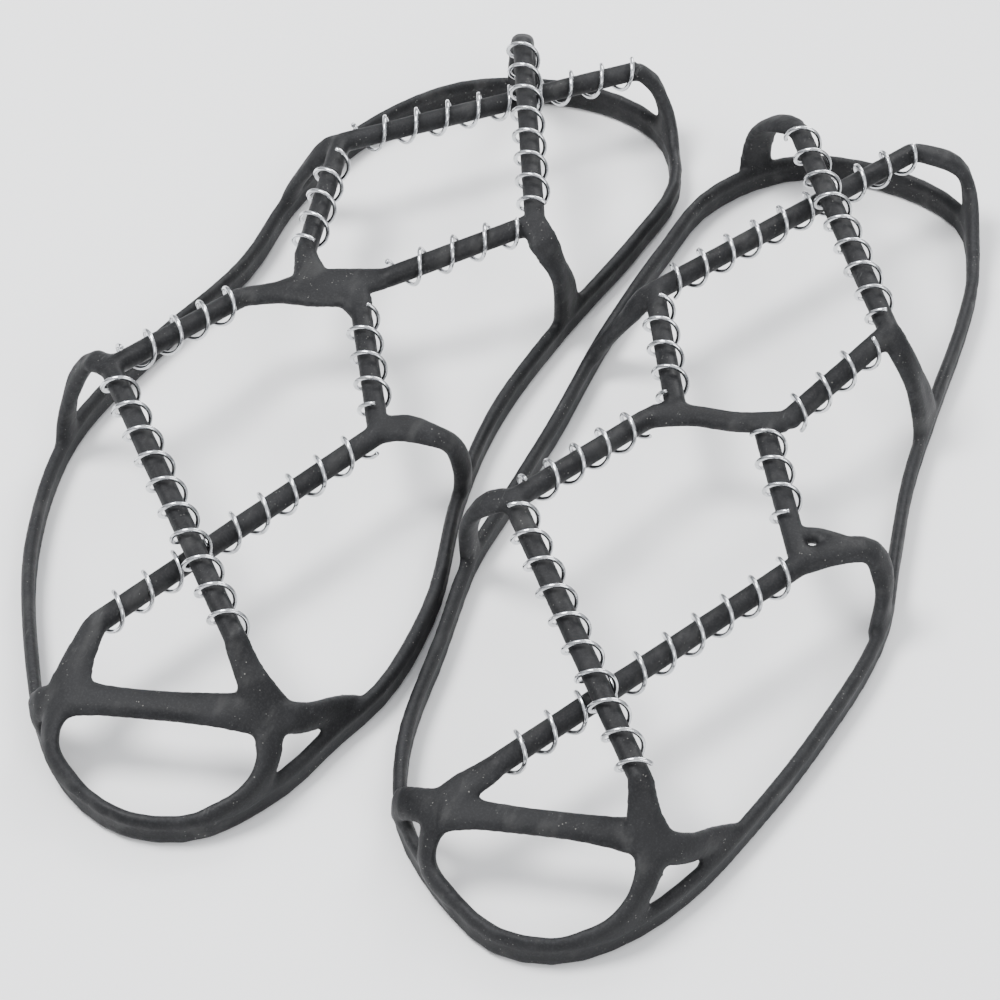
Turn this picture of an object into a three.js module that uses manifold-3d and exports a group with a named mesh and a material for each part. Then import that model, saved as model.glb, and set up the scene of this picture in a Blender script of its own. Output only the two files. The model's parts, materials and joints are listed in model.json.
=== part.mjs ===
// A pair of slip-on ice cleats for shoes, in the shape they take when stretched over soles.
// Each cleat is one moulded rubber web and eight loose steel coils threaded on its cords.
// The pair lies tread side up: +Z points out of the tread, -Y is the toe end, millimetres.
import * as THREE from 'three';
import { mergeVertices } from 'three/addons/utils/BufferGeometryUtils.js';
import Module from 'manifold-3d';

const CORD_WIDTH = 5.8;
const CORD_HEIGHT = 5.2;
const STRAP_THICKNESS = 4;
const RIM_HEIGHT = 9;
const RIM_THICKNESS = 4;
const RIM_Z = RIM_HEIGHT / 2;
const RIM_OVERLAP = 0.012;

const WIRE_DIAMETER = 1.3;
const COIL_DIAMETER = 10.1;
const COIL_PITCH = 9.8;
const COIL_CORNER_GAP = 4.2;
const COIL_END_GAP = 1.6;
const STEPS_PER_TURN = 8;
const WIRE_SIDES = 4;

// A strap is taken as lying flat on the tread above TREAD_Z and flat on the shoe's side below SIDE_Z.
const TREAD_Z = 26;
const SIDE_Z = 10;
const STRAP_STEP = 3.5;
const RIM_STEP = 7.5;
const MERGE_DISTANCE = 1e-4;

// Everything below is a point [x, y, z] or [x, y, z, width] in the cleat's own frame.
// Left and right mean -X and +X with the tread up and the toe towards -Y.
const LEFT_FOOT = {
  place: [-64, 27],
  spine: [[10, -105], [8, 125]],
  frontLeft: [-49, -27.5, 34],
  frontRight: [25, -17, 27],
  rearLeft: [-32.5, 88.5, 27],
  rearRight: [35.4, 70, 34],
  toeLeft: [-15.8, -105.5, 24.5],
  toeRight: [22.8, -102, 31],
  heelLeft: [2.5, 143, 34],
  heelRight: [35, 154, 25],
  bridge: {
    frontLeft: [-31, 17, 28],
    frontRight: [2, 24, 28],
    rearLeft: [-22, 40, 28],
    rearRight: [3, 39, 28],
  },
  bridgeStraps: [
    [[-31, 17, 28, 6.4], [-23, 22, 28, 7], [-15, 27, 28, 14], [-6, 31, 28, 15], [0, 32, 28, 9]],
    [[-22, 40, 28, 6.4], [-19.5, 36, 28, 7.5], [-16, 31, 28, 11], [-12, 26, 28, 12]],
    [[2, 24, 28, 7], [-3, 29, 28, 11], [-10, 33, 28, 10]],
    [[3, 39, 28, 7], [-3, 35, 28, 10], [-12, 30, 28, 12]],
  ],
  shoulderStart: { frontRight: 6.8, rearLeft: 8, rearRight: 5 },
  rim: [
    [12, -147], [29, -141], [42.5, -120.5], [48, -102], [54, -82], [54, -50], [46, -13], [43, 22],
    [47, 62], [54, 102], [56, 131], [43, 153], [18, 160], [-18, 148], [-38, 120], [-46.5, 84], [-47, 50],
    [-57, 10], [-62.5, -30], [-53, -72], [-35, -107], [-19, -130], [-4, -142.5],
  ],
  arms: [
    [[-49, -27.5, 34, 7], [-55.5, -25.5, 32.5, 8], [-60, -27, 26, 8], [-62.5, -30, 15, 8],
      [-62.5, -33, 5, 9]],
    [[25, -17, 27, 7], [28, -14.2, 27.5, 9.5], [32, -12.8, 27.5, 9.5], [38, -11.8, 26.5, 8],
      [42.2, -9.4, 23, 7.5], [44.5, -8.4, 18, 7.5], [46, -9, 12, 8], [46.2, -11, 5, 9]],
    [[-32.5, 88.5, 27, 7], [-35.2, 86.8, 26, 8], [-38.5, 84.8, 22.5, 8.5], [-42.6, 83.3, 16, 9],
      [-45.8, 82, 9.5, 9], [-46.6, 80, 5, 9]],
    [[35.4, 70, 34, 7], [39.1, 65.4, 33, 9], [42.1, 63.9, 30.5, 9.5], [44.3, 63.9, 26, 10.5],
      [46, 64.4, 20, 12], [46.8, 65, 13, 14], [47, 65.2, 5, 16]],
    [[2.5, 143, 34, 6.4], [1, 147, 31.5, 6.4], [-0.5, 150.5, 25, 7.5], [-1.5, 153.5, 14, 9],
      [-2, 154.5, 5, 9]],
    [[35, 154, 25, 6.4], [39.5, 155.8, 20.5, 8], [43.5, 154.5, 14.5, 8.5], [47.5, 150, 8.5, 9],
      [50.5, 144.5, 5, 9]],
  ],
  toe: [
    [[-15.8, -105.5, 24.5, 6.4], [-15.4, -111, 24, 7], [-15, -117.5, 22.7, 8.5], [-14, -125, 20, 13]],
    [[22.8, -102, 31, 6.4], [26, -105, 28, 7], [30.2, -108.3, 24.8, 8.5], [35.5, -112.3, 20, 14]],
    [[-14, -126, 20, 13], [-6, -125.3, 21, 8.8], [4, -123, 21.3, 8], [14, -120.2, 21.3, 8],
      [25, -117, 21.3, 9.5], [35.5, -112.8, 20, 13]],
    [[-12, -125, 20, 12], [-15, -131, 17, 8], [-13, -138, 12, 7], [-4, -143, 6, 8]],
    [[34.5, -113, 20, 12], [38.5, -118, 17, 8], [39.8, -124, 12.5, 7.2], [37.5, -131, 8.5, 7.5],
      [29, -141, 5, 8]],
    [[-12, -125, 20, 12], [-18, -127, 17, 9], [-22.5, -127, 12.5, 9], [-23, -125, 5, 9]],
    [[34, -112.5, 20, 12], [40.5, -110.5, 18.3, 8.5], [44, -105.5, 14.8, 7.5], [46.8, -98.5, 11, 7.5],
      [50.3, -91.5, 6, 7]],
  ],
};

const RIGHT_FOOT = {
  place: [45, 27],
  spine: [[5, -105], [-3, 120]],
  frontLeft: [-39, -33, 34],
  frontRight: [36, -20, 27],
  rearLeft: [-35, 63, 27],
  rearRight: [32.4, 64.5, 34],
  toeLeft: [-12.4, -110, 24.3],
  toeRight: [24, -106.3, 31],
  heelLeft: [-18, 136, 34],
  heelRight: [14, 147, 27],
  bridge: {
    frontLeft: [-19, 14, 28],
    frontRight: [12, 21, 28],
    rearLeft: [-14, 22, 28],
    rearRight: [16, 27, 28],
  },
  bridgeStraps: [
    [[-19, 14, 28, 6.4], [-15, 17.5, 28, 9], [-7, 20, 28, 6.5], [4, 22, 28, 6.5], [16, 27, 28, 7]],
    [[-14, 22, 28, 6.4], [-14, 18, 28, 7]],
    [[12, 21, 28, 6.4], [12, 24, 28, 7]],
  ],
  shoulderStart: { frontLeft: 4.5, frontRight: 14.5, rearLeft: 6.2, rearRight: 7 },
  rim: [
    [2, -146], [18, -143], [32, -129], [41, -111], [46.5, -92], [54, -57], [58, -16], [53, 12], [48, 40],
    [45.5, 72], [43.5, 105], [40, 127], [30, 149], [8, 157.5], [-22, 153], [-41, 130], [-46, 100],
    [-49, 60], [-49, 24],
    [-50.3, -8], [-51.3, -32], [-47.5, -62], [-43, -97], [-34, -119.5], [-24, -130.5], [-12, -139.5],
  ],
  arms: [
    [[-39, -33, 34, 7], [-43, -33.6, 32.8, 8.5], [-47.5, -34.3, 29.5, 8.5], [-50.6, -34, 22.5, 8],
      [-51.6, -33, 14, 8], [-51.4, -31.5, 5, 9]],
    [[36, -20, 27, 7], [43, -13.5, 27.5, 8], [51, -8, 26, 9], [56, -9, 16, 8], [57, -17, 5, 9]],
    [[31, -11, 27, 4], [36.5, -9.5, 27.5, 4.5], [42, -9.5, 27.5, 5], [48, -9.5, 26.5, 6]],
    [[-35, 63, 27, 7], [-37.4, 60.4, 25.2, 7.5], [-40.4, 57.6, 20.5, 8], [-44.4, 55.6, 14, 8.5],
      [-47.6, 54.2, 8.5, 9], [-48.9, 51.6, 5, 9]],
    [[32.4, 64.5, 34, 6.8], [36, 62, 31.5, 7.5], [39.8, 61.2, 26, 9], [43, 61.4, 18, 11.5],
      [45.3, 61.4, 10, 15], [46, 61, 5, 17]],
    [[-18, 136, 34, 6.4], [-23, 138.5, 32.5, 8.5], [-29, 142.5, 27, 10], [-32.5, 145.5, 17, 10],
      [-33.5, 146, 5, 10]],
    [[14, 147, 27, 6.4], [20, 148.5, 26, 7.5], [25.5, 150.5, 23.5, 8.5], [29, 151.5, 19, 9],
      [31.5, 149, 14, 9], [34.5, 142.5, 9, 9], [38.5, 132, 5, 9]],
  ],
  toe: [
    [[-12.4, -110, 24.3, 6.4], [-14.5, -114, 23.8, 7.5], [-18, -118.5, 22.3, 9], [-20, -124, 20, 13]],
    [[24, -106.3, 31, 6.4], [25.5, -109, 28, 7.2], [27.5, -112.5, 24.5, 9], [30, -115.5, 20, 14]],
    [[-20.5, -125, 20, 12], [-12, -123.8, 21, 8], [0, -121.3, 21.3, 7], [12, -118.5, 21.3, 7],
      [22, -116.3, 21, 8.5], [31, -113.5, 19.5, 12]],
    [[-20, -124, 20, 12], [-22, -129.5, 15.5, 7.5], [-20.5, -135, 10, 7], [-11.5, -140.5, 6, 8]],
    [[30.5, -115, 20, 12], [32, -121, 17, 7.8], [31.5, -127.5, 12.5, 7], [28, -134.5, 8, 7.5],
      [19.5, -142, 5, 8]],
    [[-19, -124, 20, 12], [-27, -123.5, 17.5, 8.5], [-33, -121.5, 13, 8.5], [-35.5, -118, 5, 9]],
    [[30, -115, 20, 12], [34.5, -113.5, 18, 8.5], [38.3, -109, 14.5, 7.5], [41.3, -102.5, 11, 7.5],
      [45, -95, 6, 7]],
  ],
};

const wasm = await Module();
wasm.setup();

const rubber = () => new THREE.MeshStandardMaterial({ color: 0x2a2b2e, roughness: 0.72, metalness: 0 });
const steel = () => new THREE.MeshStandardMaterial({ color: 0xc3c8cc, roughness: 0.28, metalness: 1 });

// The moulded section, one unit wide and one unit thick, with chamfered corners.
function unitSection() {
  const flat = 0.24;
  const side = 0.2;
  const quarter = [[0.5, -side], [0.5, side], [flat, 0.5], [-flat, 0.5]];
  const half = quarter.concat([[-0.5, side], [-0.5, -side], [-flat, -0.5], [flat, -0.5]]);
  return new THREE.Shape(half.map(([x, y]) => new THREE.Vector2(x, y)));
}

// Outward normal of the shoe under the web: up on the tread, sideways on the shoe's side.
function shoeNormal(point, spine) {
  const [front, rear] = spine;
  const along = THREE.MathUtils.clamp((point.y - front[1]) / (rear[1] - front[1]), 0, 1);
  const centreX = THREE.MathUtils.lerp(front[0], rear[0], along);
  const centreY = THREE.MathUtils.clamp(point.y, front[1], rear[1]);
  const sideways = new THREE.Vector3(point.x - centreX, point.y - centreY, 0).normalize();
  const upward = THREE.MathUtils.smoothstep(point.z, SIDE_Z, TREAD_Z);
  return sideways.multiplyScalar(1 - upward).add(new THREE.Vector3(0, 0, upward)).normalize();
}

// A path whose frames lie on the shoe and carry the strap's own width and thickness.
class StrapPath extends THREE.CatmullRomCurve3 {
  constructor(points, widths, thickness, spine) {
    super(points, false, 'centripetal');
    this.widths = widths;
    this.thickness = thickness;
    this.spine = spine;
  }

  widthAt(u) {
    const t = this.getUtoTmapping(u) * (this.widths.length - 1);
    const index = Math.min(Math.floor(t), this.widths.length - 2);
    return THREE.MathUtils.lerp(this.widths[index], this.widths[index + 1], t - index);
  }

  computeFrenetFrames(segments) {
    const frames = { tangents: [], normals: [], binormals: [] };
    for (let i = 0; i <= segments; i += 1) {
      const u = i / segments;
      const tangent = this.getTangentAt(u);
      const outward = shoeNormal(this.getPointAt(u), this.spine);
      const across = new THREE.Vector3().crossVectors(outward, tangent).normalize();
      const lift = new THREE.Vector3().crossVectors(tangent, across);
      frames.tangents.push(tangent);
      frames.normals.push(across.multiplyScalar(this.widthAt(u)));
      frames.binormals.push(lift.multiplyScalar(this.thickness));
    }
    return frames;
  }
}

function strap(points, thickness, spine, step = STRAP_STEP) {
  const centres = points.map(([x, y, z]) => new THREE.Vector3(x, y, z));
  const widths = points.map((point) => point[3]);
  const path = new StrapPath(centres, widths, thickness, spine);
  const steps = Math.max(1, Math.round(path.getLength() / step));
  return new THREE.ExtrudeGeometry(unitSection(), { steps, bevelEnabled: false, extrudePath: path });
}

// A straight cord, one step long.
function cord(from, to, spine) {
  const ends = [from, to].map(([x, y, z]) => [x, y, z, CORD_WIDTH]);
  return strap(ends, CORD_HEIGHT, spine, Infinity);
}

// One half of the closed rim, running a little past both ends so that the halves join.
function rimHalf(outline, from, to, spine) {
  const corners = outline.map(([x, y]) => new THREE.Vector3(x, y, RIM_Z));
  const loop = new THREE.CatmullRomCurve3(corners, true, 'centripetal');
  const start = from - RIM_OVERLAP;
  const span = to - from + 2 * RIM_OVERLAP;
  const count = Math.round((loop.getLength() * span) / RIM_STEP);
  const points = [];
  for (let i = 0; i <= count; i += 1) {
    const point = loop.getPointAt((start + (span * i) / count + 1) % 1);
    points.push([point.x, point.y, point.z, RIM_HEIGHT]);
  }
  return strap(points, RIM_THICKNESS, spine, RIM_STEP);
}

function toSolid(geometry) {
  geometry.deleteAttribute('normal');
  geometry.deleteAttribute('uv');
  const merged = mergeVertices(geometry, MERGE_DISTANCE);
  const vertProperties = new Float32Array(merged.attributes.position.array);
  const triVerts = new Uint32Array(merged.index.array);
  return new wasm.Manifold(new wasm.Mesh({ numProp: 3, vertProperties, triVerts }));
}

function toGeometry(solid) {
  const { vertProperties, triVerts } = solid.getMesh();
  const geometry = new THREE.BufferGeometry();
  geometry.setAttribute('position', new THREE.BufferAttribute(vertProperties, 3));
  geometry.setIndex(new THREE.BufferAttribute(triVerts, 1));
  geometry.computeVertexNormals();
  return geometry;
}

// The four long cords cross in pairs; the four short ones run from the corners to the bridge.
function cordEnds(foot) {
  return {
    toe_upper: [foot.frontLeft, foot.toeRight],
    toe_lower: [foot.frontRight, foot.toeLeft],
    heel_upper: [foot.rearRight, foot.heelLeft],
    heel_lower: [foot.rearLeft, foot.heelRight],
    shoulder_front_left: [foot.frontLeft, foot.bridge.frontLeft],
    shoulder_front_right: [foot.frontRight, foot.bridge.frontRight],
    shoulder_rear_left: [foot.rearLeft, foot.bridge.rearLeft],
    shoulder_rear_right: [foot.rearRight, foot.bridge.rearRight],
  };
}

function webGeometry(foot) {
  const pieces = [];
  for (const [from, to] of Object.values(cordEnds(foot))) {
    pieces.push(cord(from, to, foot.spine));
  }
  for (const points of [...foot.arms, ...foot.toe, ...foot.bridgeStraps]) {
    pieces.push(strap(points, STRAP_THICKNESS, foot.spine));
  }
  pieces.push(rimHalf(foot.rim, 0, 0.5, foot.spine));
  pieces.push(rimHalf(foot.rim, 0.5, 1, foot.spine));
  const web = pieces.map(toSolid).reduce((joined, solid) => joined.add(solid));
  return toGeometry(web);
}

// A left-handed helix along +Z; its wire is at topAt's height on the +Y side.
class CoilPath extends THREE.Curve {
  constructor(start, end, topAt) {
    super();
    this.start = start;
    this.end = end;
    this.topAt = topAt;
    this.radius = (COIL_DIAMETER - WIRE_DIAMETER) / 2;
  }

  getPoint(t, target = new THREE.Vector3()) {
    const height = THREE.MathUtils.lerp(this.start, this.end, t);
    const angle = Math.PI / 2 - (2 * Math.PI * (height - this.topAt)) / COIL_PITCH;
    return target.set(this.radius * Math.cos(angle), this.radius * Math.sin(angle), height);
  }
}

function coilGeometry(start, end, topAt) {
  const wire = new THREE.Shape();
  for (let i = 0; i < WIRE_SIDES; i += 1) {
    const angle = (2 * Math.PI * (i + 0.5)) / WIRE_SIDES;
    const point = [0.5 * WIRE_DIAMETER * Math.cos(angle), 0.5 * WIRE_DIAMETER * Math.sin(angle)];
    if (i === 0) wire.moveTo(...point);
    else wire.lineTo(...point);
  }
  const steps = Math.round(((end - start) / COIL_PITCH) * STEPS_PER_TURN);
  const extrudePath = new CoilPath(start, end, topAt);
  return new THREE.ExtrudeGeometry(wire, { steps, bevelEnabled: false, extrudePath });
}

// Puts a coil's own +Z along its cord, with its +Y side as nearly up as the cord allows.
function placeOnCord(mesh, from, to) {
  const axis = new THREE.Vector3(...to).sub(new THREE.Vector3(...from)).normalize();
  const up = new THREE.Vector3(0, 0, 1).addScaledVector(axis, -axis.z).normalize();
  const side = new THREE.Vector3().crossVectors(up, axis);
  mesh.position.set(...from);
  mesh.quaternion.setFromRotationMatrix(new THREE.Matrix4().makeBasis(side, up, axis));
}

// Distance from a cord's start to the point where the other cord passes, seen from above.
function crossingDistance([from, to], [otherFrom, otherTo]) {
  const along = [to[0] - from[0], to[1] - from[1]];
  const other = [otherTo[0] - otherFrom[0], otherTo[1] - otherFrom[1]];
  const offset = [otherFrom[0] - from[0], otherFrom[1] - from[1]];
  const share = (offset[0] * other[1] - offset[1] * other[0]) / (along[0] * other[1] - along[1] * other[0]);
  return share * new THREE.Vector3(...to).distanceTo(new THREE.Vector3(...from));
}

function coilMesh(name, from, to, start, topAt) {
  const length = new THREE.Vector3(...to).distanceTo(new THREE.Vector3(...from));
  const mesh = new THREE.Mesh(coilGeometry(start, length - COIL_END_GAP, topAt), steel());
  mesh.name = name;
  placeOnCord(mesh, from, to);
  return mesh;
}

// A coil has its wire on top where its cord passes over another, and underneath where it passes below.
function coilMeshes(foot, side) {
  const ends = cordEnds(foot);
  const meshes = [];
  for (const end of ['toe', 'heel']) {
    const upper = ends[`${end}_upper`];
    const lower = ends[`${end}_lower`];
    const overAt = crossingDistance(upper, lower);
    const underAt = crossingDistance(lower, upper) + COIL_PITCH / 2;
    meshes.push(coilMesh(`${side}_${end}_upper_coil`, ...upper, COIL_CORNER_GAP, overAt));
    meshes.push(coilMesh(`${side}_${end}_lower_coil`, ...lower, COIL_CORNER_GAP, underAt));
  }
  for (const corner of ['frontLeft', 'frontRight', 'rearLeft', 'rearRight']) {
    const label = corner.replace(/([A-Z])/, (letter) => `_${letter.toLowerCase()}`);
    const start = foot.shoulderStart[corner] ?? COIL_CORNER_GAP;
    const cordLine = ends[`shoulder_${label}`];
    meshes.push(coilMesh(`${side}_${label}_shoulder_coil`, ...cordLine, start, start));
  }
  return meshes;
}

function cleat(foot, side) {
  const group = new THREE.Group();
  const web = new THREE.Mesh(webGeometry(foot), rubber());
  web.name = `${side}_web`;
  group.add(web, ...coilMeshes(foot, side));
  group.position.set(...foot.place, 0);
  return group;
}

const pair = new THREE.Group();
pair.add(cleat(LEFT_FOOT, 'left'), cleat(RIGHT_FOOT, 'right'));

// The origin is the middle of the pair's footprint, on the surface that it lies on.
const extent = new THREE.Box3().setFromObject(pair);
const middle = extent.getCenter(new THREE.Vector3());
pair.position.set(-middle.x, -middle.y, -extent.min.z);

export default pair;
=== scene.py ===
"""A pair of slip-on shoe ice cleats: two moulded rubber webs and sixteen coils of steel wire."""

import json
import math

import bmesh
import bpy
import numpy as np
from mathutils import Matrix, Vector, noise


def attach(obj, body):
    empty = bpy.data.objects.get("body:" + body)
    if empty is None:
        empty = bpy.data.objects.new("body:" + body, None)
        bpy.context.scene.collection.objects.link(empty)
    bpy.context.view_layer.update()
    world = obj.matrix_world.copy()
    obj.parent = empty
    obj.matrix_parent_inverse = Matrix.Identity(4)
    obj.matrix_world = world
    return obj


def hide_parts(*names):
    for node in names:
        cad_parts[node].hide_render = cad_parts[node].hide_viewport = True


MM = 0.001

# Camera: its aim is given from the middle of the footprint.
LENS_MM = 129.6
SENSOR_MM = 36
VIEW_ELEVATION = 46.0
VIEW_AZIMUTH = 22.0
VIEW_DISTANCE = 0.947
VIEW_AIM = (0.01181, -0.03350, 0.026)

# Rubber web. Rounds count passes over the remeshed surface.
REMESH_VOXEL = 0.8 * MM
FILL_ROUNDS = 60
FILL_SHARE = 0.9
ROUNDS_PER_NORMALS = 6
RELAX_ROUNDS = 18
RELAX_IN = 0.55
RELAX_OUT = 0.57
# Swells and ripples of the surface: how many to a metre, and their height in millimetres.
SWELL_SCALE = 60
SWELL_HEIGHT = 0.10
RIPPLE_SCALE = 260
RIPPLE_HEIGHT = 0.02
# Outer edges: the bend at which an edge starts to count, and the span to a full edge, in voxels.
EDGE_START = 0.05
EDGE_SPAN = 0.16
# A shallow channel runs along the rim's walls between its two beaded edges (millimetres).
CHANNEL_MIDDLE = 4.4
CHANNEL_HALF_HEIGHT = 2.7
CHANNEL_DEPTH = 0.45

# Coil wire
WIRE_RADIUS = 0.60 * MM
WIRE_SIDES = 14
STEPS_PER_TURN = 44
TIP_LENGTH = 0.25 * MM
# How far a coil's radius wanders, as a share of it
COIL_WANDER = 0.010
# Range in which a coil's pitch is looked for, and the number of tries
PITCH_LOW = 8.5 * MM
PITCH_HIGH = 11.5 * MM
PITCH_TRIES = 601

# Soft light from all round, darker near the horizon
HORIZON_GLOW = 0.22
ZENITH_GLOW = 1.25
GLOW_TOP = 0.75
FLOOR_HALF = 6.0

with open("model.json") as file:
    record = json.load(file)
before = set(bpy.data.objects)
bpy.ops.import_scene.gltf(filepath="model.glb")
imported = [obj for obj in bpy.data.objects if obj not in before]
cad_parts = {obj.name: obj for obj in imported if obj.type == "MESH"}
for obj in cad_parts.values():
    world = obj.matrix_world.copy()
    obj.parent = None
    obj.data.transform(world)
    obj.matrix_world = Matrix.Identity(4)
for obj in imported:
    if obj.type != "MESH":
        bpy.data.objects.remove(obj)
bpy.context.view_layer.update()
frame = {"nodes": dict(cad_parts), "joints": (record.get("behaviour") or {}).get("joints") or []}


# ---------------------------------------------------------------- node helpers
class Shader:
    """A short way to write a node tree."""

    def __init__(self, name):
        self.material = bpy.data.materials.new(name)
        self.material.use_nodes = True
        self.tree = self.material.node_tree
        self.tree.nodes.clear()
        self.output = self.tree.nodes.new("ShaderNodeOutputMaterial")
        self.surface = self.tree.nodes.new("ShaderNodeBsdfPrincipled")
        self.link(self.surface.outputs["BSDF"], self.output.inputs["Surface"])

    def link(self, source, target):
        self.tree.links.new(source, target)

    def put(self, value, socket):
        if isinstance(value, bpy.types.NodeSocket):
            self.link(value, socket)
        else:
            socket.default_value = value

    def position(self):
        return self.tree.nodes.new("ShaderNodeTexCoord").outputs["Object"]

    def noise(self, scale, detail=3.0, roughness=0.55, stretch=None):
        vector = self.position()
        if stretch is not None:
            mapping = self.tree.nodes.new("ShaderNodeMapping")
            mapping.inputs["Scale"].default_value = stretch
            self.link(vector, mapping.inputs["Vector"])
            vector = mapping.outputs["Vector"]
        node = self.tree.nodes.new("ShaderNodeTexNoise")
        node.inputs["Scale"].default_value = scale
        node.inputs["Detail"].default_value = detail
        node.inputs["Roughness"].default_value = roughness
        self.link(vector, node.inputs["Vector"])
        return node.outputs["Fac"]

    def specks(self, scale, size, rarity):
        """1 in small dots of mixed size that lie in loose clusters, 0 elsewhere."""
        node = self.tree.nodes.new("ShaderNodeTexVoronoi")
        node.inputs["Scale"].default_value = scale
        self.link(self.position(), node.inputs["Vector"])
        chance = self.tree.nodes.new("ShaderNodeSeparateColor")
        self.link(node.outputs["Color"], chance.inputs["Color"])
        reach = self.math("MULTIPLY", chance.outputs["Green"], size)
        dots = self.ramp(self.math("SUBTRACT", node.outputs["Distance"], reach), 0.0, -0.06)
        cluster = self.ramp(self.noise(90, 3, 0.6), 0.46, 0.62)
        kept = self.ramp(chance.outputs["Red"], rarity, rarity + 0.08)
        return self.math("MULTIPLY", dots, self.math("MULTIPLY", kept, cluster))

    def math(self, operation, first, second=0.5):
        node = self.tree.nodes.new("ShaderNodeMath")
        node.operation = operation
        self.put(first, node.inputs[0])
        self.put(second, node.inputs[1])
        return node.outputs["Value"]

    def ramp(self, value, low, high, to_low=0.0, to_high=1.0):
        node = self.tree.nodes.new("ShaderNodeMapRange")
        node.interpolation_type = "SMOOTHSTEP"
        self.put(value, node.inputs["Value"])
        node.inputs["From Min"].default_value = low
        node.inputs["From Max"].default_value = high
        node.inputs["To Min"].default_value = to_low
        node.inputs["To Max"].default_value = to_high
        return node.outputs["Result"]

    def mix(self, share, first, second):
        node = self.tree.nodes.new("ShaderNodeMix")
        node.data_type = "RGBA"
        self.put(share, node.inputs["Factor"])
        self.put(first, node.inputs["A"])
        self.put(second, node.inputs["B"])
        return node.outputs["Result"]

    def attribute(self, name):
        node = self.tree.nodes.new("ShaderNodeAttribute")
        node.attribute_name = name
        return node.outputs["Fac"]

    def bump(self, height, distance, strength=1.0, below=None):
        node = self.tree.nodes.new("ShaderNodeBump")
        node.inputs["Strength"].default_value = strength
        node.inputs["Distance"].default_value = distance
        self.put(height, node.inputs["Height"])
        if below is not None:
            self.link(below, node.inputs["Normal"])
        return node.outputs["Normal"]

    def set(self, name, value):
        self.put(value, self.surface.inputs[name])


def rgb(red, green, blue):
    return (red, green, blue, 1.0)


# ---------------------------------------------------------------- materials
def rubber_material():
    """Black moulded rubber: matte, a little grey with dust, paler where edges have worn."""
    shader = Shader("moulded_rubber")
    clouds = shader.noise(55, 4, 0.6)
    fine = shader.noise(900, 3, 0.6)
    flow = shader.noise(160, 3, 0.55, stretch=(1.0, 0.35, 1.0))
    edge = shader.attribute("edge")
    grain = shader.noise(1700, 4, 0.75)
    darkest = rgb(0.0100, 0.0102, 0.0112)
    lighter = rgb(0.0170, 0.0173, 0.0186)
    smooth = shader.mix(shader.ramp(clouds, 0.35, 0.65), darkest, lighter)
    base = shader.mix(shader.ramp(grain, 0.45, 0.70, 0.0, 0.35), smooth, rgb(0.040, 0.040, 0.042))
    dusty = shader.mix(shader.ramp(flow, 0.52, 0.74, 0.0, 0.5), base, rgb(0.046, 0.046, 0.046))
    worn = shader.math("MULTIPLY", edge, shader.ramp(fine, 0.35, 0.6, 0.35, 1.0))
    paler = shader.mix(worn, dusty, rgb(0.060, 0.061, 0.064))
    dots = shader.specks(1500, 0.34, 0.70)
    scratches = shader.ramp(shader.noise(700, 4, 0.7, stretch=(1.0, 0.16, 0.5)), 0.61, 0.70)
    scuffs = shader.math("MULTIPLY", scratches, shader.ramp(shader.noise(60, 2, 0.5), 0.50, 0.64))
    paler = shader.mix(shader.math("MULTIPLY", scuffs, 0.5), paler, rgb(0.075, 0.075, 0.076))
    speckled = shader.mix(shader.math("MULTIPLY", dots, 0.55), paler, rgb(0.24, 0.235, 0.22))
    shader.set("Base Color", speckled)
    shader.set("Roughness", shader.ramp(clouds, 0.3, 0.7, 0.46, 0.66))
    shader.set("Specular IOR Level", 0.15)
    coarse = shader.bump(shader.noise(260, 3, 0.6), 0.16 * MM, 0.6)
    medium = shader.bump(fine, 0.07 * MM, 0.8, coarse)
    shader.set("Normal", shader.bump(grain, 0.04 * MM, 0.6, medium))
    return shader.material


def steel_material():
    """Bright zinc-plated wire with fine drawing lines and duller patches."""
    shader = Shader("zinc_plated_wire")
    patches = shader.noise(240, 3, 0.55)
    grain = shader.noise(2200, 2, 0.5)
    tone = shader.mix(shader.ramp(patches, 0.4, 0.68), rgb(0.66, 0.67, 0.69), rgb(0.44, 0.45, 0.46))
    # Painted dark reflections: sparse dark patches mixed into the wire's colour at random.
    painted_reflection_patches = shader.math("MULTIPLY", shader.ramp(shader.noise(520, 4, 0.65), 0.60, 0.78), 0.6)
    shader.set("Base Color", shader.mix(painted_reflection_patches, tone, rgb(0.20, 0.19, 0.18)))
    shader.set("Metallic", 1.0)
    shader.set("Roughness", shader.ramp(patches, 0.35, 0.7, 0.11, 0.28))
    shader.set("Normal", shader.bump(grain, 0.02 * MM, 0.5))
    return shader.material


def floor_material():
    shader = Shader("pale_floor")
    shader.set("Base Color", rgb(0.93, 0.93, 0.935))
    shader.set("Roughness", 0.9)
    shader.set("Specular IOR Level", 0.1)
    return shader.material


# ---------------------------------------------------------------- rubber webs
def edge_lists(mesh):
    ends = np.zeros(len(mesh.edges) * 2, np.int32)
    mesh.edges.foreach_get("vertices", ends)
    return ends.reshape(-1, 2)


def neighbour_mean(points, ends, counts):
    total = np.zeros_like(points)
    for axis in range(3):
        total[:, axis] = np.bincount(ends[:, 0], points[ends[:, 1], axis], len(points))
        total[:, axis] += np.bincount(ends[:, 1], points[ends[:, 0], axis], len(points))
    return total / counts[:, None]


def coordinates(mesh):
    points = np.zeros(len(mesh.vertices) * 3, np.float32)
    mesh.vertices.foreach_get("co", points)
    return points.reshape(-1, 3).astype(float)


def normals(mesh):
    found = np.zeros(len(mesh.vertices) * 3, np.float32)
    mesh.vertices.foreach_get("normal", found)
    return found.reshape(-1, 3).astype(float)


def write_back(mesh, points):
    mesh.vertices.foreach_set("co", points.astype(np.float32).ravel())
    mesh.update()


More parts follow.
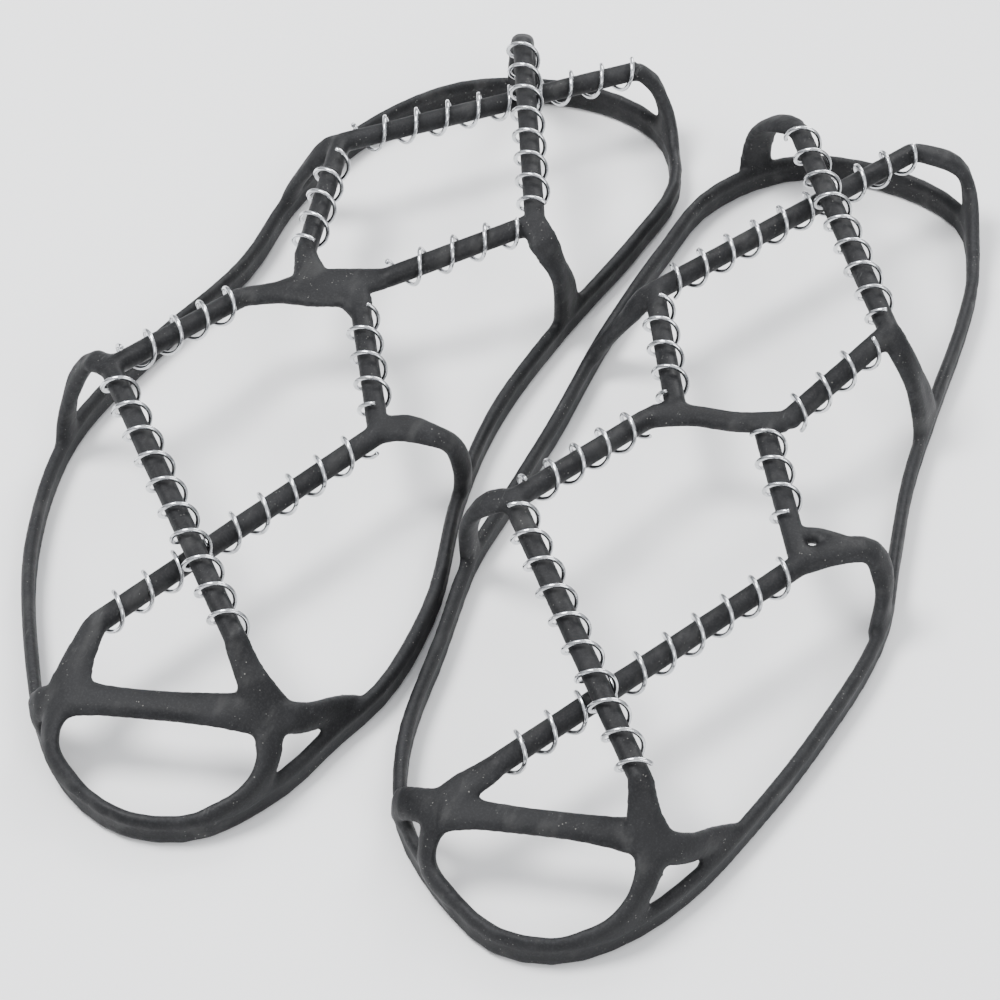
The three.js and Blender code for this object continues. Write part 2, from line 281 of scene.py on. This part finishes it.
def round_off(mesh):
    """Fills inner corners with fillets, then relaxes the surface without shrinking it."""
    ends = edge_lists(mesh)
    counts = np.bincount(ends.ravel(), minlength=len(mesh.vertices)).astype(float)
    points = coordinates(mesh)
    for step in range(FILL_ROUNDS):
        if step % ROUNDS_PER_NORMALS == 0:
            write_back(mesh, points)
            outward = normals(mesh)
        pull = neighbour_mean(points, ends, counts) - points
        lift = np.clip((pull * outward).sum(1), 0, None)
        points += FILL_SHARE * lift[:, None] * outward
    for _ in range(RELAX_ROUNDS):
        points += RELAX_IN * (neighbour_mean(points, ends, counts) - points)
        points -= RELAX_OUT * (neighbour_mean(points, ends, counts) - points)
    write_back(mesh, points)


def mark_edges(mesh):
    """Stores 1 on outer edges and 0 on flats and inner corners."""
    ends = edge_lists(mesh)
    counts = np.bincount(ends.ravel(), minlength=len(mesh.vertices)).astype(float)
    points = coordinates(mesh)
    bend = ((neighbour_mean(points, ends, counts) - points) * normals(mesh)).sum(1)
    for _ in range(3):
        total = np.bincount(ends[:, 0], bend[ends[:, 1]], len(bend))
        total += np.bincount(ends[:, 1], bend[ends[:, 0]], len(bend))
        bend = 0.5 * bend + 0.5 * total / counts
    share = np.clip((-bend / REMESH_VOXEL - EDGE_START) / EDGE_SPAN, 0, 1)
    layer = mesh.attributes.new("edge", "FLOAT", "POINT")
    layer.data.foreach_set("value", share.astype(np.float32))


def web(side, material):
    """One cleat's rubber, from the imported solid: remeshed, filleted and slightly uneven."""
    source = frame["nodes"][f"{side}_web"]
    piece = bpy.data.objects.new(f"{side}_rubber_web", source.data.copy())
    bpy.context.scene.collection.objects.link(piece)
    piece.data.materials.clear()
    remesh = piece.modifiers.new("remesh", "REMESH")
    remesh.mode = "VOXEL"
    remesh.voxel_size = REMESH_VOXEL
    depsgraph = bpy.context.evaluated_depsgraph_get()
    mesh = bpy.data.meshes.new_from_object(piece.evaluated_get(depsgraph))
    piece.modifiers.clear()
    piece.data = mesh
    round_off(mesh)
    unevenness(mesh)
    mark_edges(mesh)
    mesh.polygons.foreach_set("use_smooth", [True] * len(mesh.polygons))
    mesh.materials.append(material)
    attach(piece, f"{side}_cleat")
    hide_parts(f"{side}_web")
    return piece


def unevenness(mesh):
    """Small swells and dips, as soft rubber has when it is stretched."""
    points = coordinates(mesh)
    outward = normals(mesh)
    swells = np.array([noise.noise(Vector(point) * SWELL_SCALE) for point in points])
    ripples = np.array([noise.noise(Vector(point) * RIPPLE_SCALE) for point in points])
    heights = swells * SWELL_HEIGHT + ripples * RIPPLE_HEIGHT
    wall = np.clip(1.6 - 2.2 * abs(outward[:, 2]), 0, 1)
    away = np.clip(abs(points[:, 2] / MM - CHANNEL_MIDDLE) / CHANNEL_HALF_HEIGHT, 0, 1)
    heights -= CHANNEL_DEPTH * wall * (1 - away ** 4) ** 2
    write_back(mesh, points + outward * (heights * MM)[:, None])


# ---------------------------------------------------------------- coils
def coil_facts(joint):
    """A coil's start and end along its cord, radius, pitch and phase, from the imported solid."""
    origin = np.array(joint["pos_m"])
    axis = np.array(joint["axis"], float)
    axis /= np.linalg.norm(axis)
    side = np.cross((0, 0, 1), axis)
    side /= np.linalg.norm(side)
    up = np.cross(axis, side)
    points = coordinates(frame["nodes"][joint["child"]].data) - origin
    heights = points @ axis
    radial = np.stack([points @ side, points @ up], 1)
    angles = np.arctan2(radial[:, 1], radial[:, 0])
    radii = np.linalg.norm(radial, axis=1)
    pitches = np.linspace(PITCH_LOW, PITCH_HIGH, PITCH_TRIES)
    waves = np.exp(1j * (angles[None, :] + 2 * np.pi * heights[None, :] / pitches[:, None]))
    sums = waves.sum(1)
    best = int(np.argmax(abs(sums)))
    return {
        "origin": origin, "axis": axis, "side": side, "up": up,
        "start": heights.min(), "end": heights.max(),
        "radius": (radii.min() + radii.max()) / 2,
        "pitch": pitches[best], "phase": np.angle(sums[best]),
    }


def coil(joint, material):
    """A left-handed coil of round wire with two cut ends."""
    facts = coil_facts(joint)
    turns = (facts["end"] - facts["start"] - 2 * WIRE_RADIUS) / facts["pitch"]
    count = int(turns * STEPS_PER_TURN)
    heights = facts["start"] + WIRE_RADIUS + np.arange(count + 1) / count * turns * facts["pitch"]
    angles = facts["phase"] - 2 * np.pi * heights / facts["pitch"]
    seed = sum(map(ord, joint["child"]))
    sway = np.array([noise.noise((height / MM * 0.11, seed, 0.5)) for height in heights])
    radii = facts["radius"] * (1 + COIL_WANDER * sway)
    line = (facts["origin"] + np.outer(heights, facts["axis"])
            + np.outer(radii * np.cos(angles), facts["side"])
            + np.outer(radii * np.sin(angles), facts["up"]))
    piece = tube(joint["child"].replace("_coil", "_wire"), line, material)
    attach(piece, joint["child"])
    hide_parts(joint["child"])
    return piece


def tube(name, line, material):
    """Round wire along a line, each end narrowed a little where the cutter squeezed it."""
    mesh = bpy.data.meshes.new(name)
    build = bmesh.new()
    rings = []
    first = line[0] - TIP_LENGTH * unit(line[1] - line[0])
    last = line[-1] + TIP_LENGTH * unit(line[-1] - line[-2])
    path = np.vstack([first, line, last])
    radii = np.full(len(path), WIRE_RADIUS)
    radii[0] = radii[-1] = 0.72 * WIRE_RADIUS
    normal = None
    for index, point in enumerate(path):
        ahead = path[min(index + 1, len(path) - 1)]
        behind = path[max(index - 1, 0)]
        tangent = unit(ahead - behind)
        if normal is None:
            normal = unit(np.cross(tangent, (0.31, 0.17, 0.94)))
        normal = unit(normal - tangent * (normal @ tangent))
        across = np.cross(tangent, normal)
        ring = []
        for step in range(WIRE_SIDES):
            angle = 2 * math.pi * step / WIRE_SIDES
            offset = math.cos(angle) * normal + math.sin(angle) * across
            ring.append(build.verts.new(point + radii[index] * offset))
        rings.append(ring)
    for lower, upper in zip(rings, rings[1:]):
        for step in range(WIRE_SIDES):
            after = (step + 1) % WIRE_SIDES
            build.faces.new((lower[step], lower[after], upper[after], upper[step])).smooth = True
    build.faces.new(rings[0][::-1])
    build.faces.new(rings[-1])
    build.normal_update()
    build.to_mesh(mesh)
    build.free()
    mesh.materials.append(material)
    piece = bpy.data.objects.new(name, mesh)
    bpy.context.scene.collection.objects.link(piece)
    return piece


def unit(vector):
    return vector / np.linalg.norm(vector)


# ---------------------------------------------------------------- stage
def floor():
    mesh = bpy.data.meshes.new("floor")
    corners = [(x * FLOOR_HALF, y * FLOOR_HALF, 0) for x, y in ((-1, -1), (1, -1), (1, 1), (-1, 1))]
    mesh.from_pydata(corners, [], [(0, 1, 2, 3)])
    mesh.materials.append(floor_material())
    piece = bpy.data.objects.new("floor", mesh)
    bpy.context.scene.collection.objects.link(piece)


def area_light(name, place, size, power, aim=(0, 0, 0)):
    data = bpy.data.lights.new(name, "AREA")
    data.shape = "DISK"
    data.size = size
    data.energy = power
    lamp = bpy.data.objects.new(name, data)
    lamp.location = place
    lamp.rotation_euler = (Vector(aim) - Vector(place)).to_track_quat("-Z", "Y").to_euler()
    bpy.context.scene.collection.objects.link(lamp)


def lights():
    world = bpy.data.worlds.new("studio")
    world.use_nodes = True
    tree = world.node_tree
    background = tree.nodes["Background"]
    background.inputs["Color"].default_value = rgb(0.95, 0.97, 1.0)
    height = tree.nodes.new("ShaderNodeSeparateXYZ")
    tree.links.new(tree.nodes.new("ShaderNodeTexCoord").outputs["Generated"], height.inputs["Vector"])
    glow = tree.nodes.new("ShaderNodeMapRange")
    glow.interpolation_type = "SMOOTHSTEP"
    tree.links.new(height.outputs["Z"], glow.inputs["Value"])
    glow.inputs["From Min"].default_value = 0.0
    glow.inputs["From Max"].default_value = GLOW_TOP
    glow.inputs["To Min"].default_value = HORIZON_GLOW
    glow.inputs["To Max"].default_value = ZENITH_GLOW
    tree.links.new(glow.outputs["Result"], background.inputs["Strength"])
    bpy.context.scene.world = world
    area_light("key", (-0.7, -0.2, 1.5), 0.7, 36)
    area_light("fill", (1.2, -0.9, 1.1), 1.0, 14)
    area_light("back", (0.1, 1.4, 1.0), 0.8, 18)


def camera():
    elevation = math.radians(VIEW_ELEVATION)
    azimuth = math.radians(VIEW_AZIMUTH)
    away = Vector((-math.sin(azimuth), math.cos(azimuth), 0))
    forward = away * math.cos(elevation) - Vector((0, 0, math.sin(elevation)))
    data = bpy.data.cameras.new("camera")
    data.sensor_width = SENSOR_MM
    data.lens = LENS_MM
    viewer = bpy.data.objects.new("camera", data)
    viewer.location = Vector(VIEW_AIM) - forward * VIEW_DISTANCE
    viewer.rotation_euler = forward.to_track_quat("-Z", "Y").to_euler()
    bpy.context.scene.collection.objects.link(viewer)
    bpy.context.scene.camera = viewer


# ---------------------------------------------------------------- build
rubber = rubber_material()
steel = steel_material()
for side in ("left", "right"):
    web(side, rubber)
for joint in frame["joints"]:
    if joint["child"].endswith("_coil"):
        coil(joint, steel)
floor()
lights()
camera()
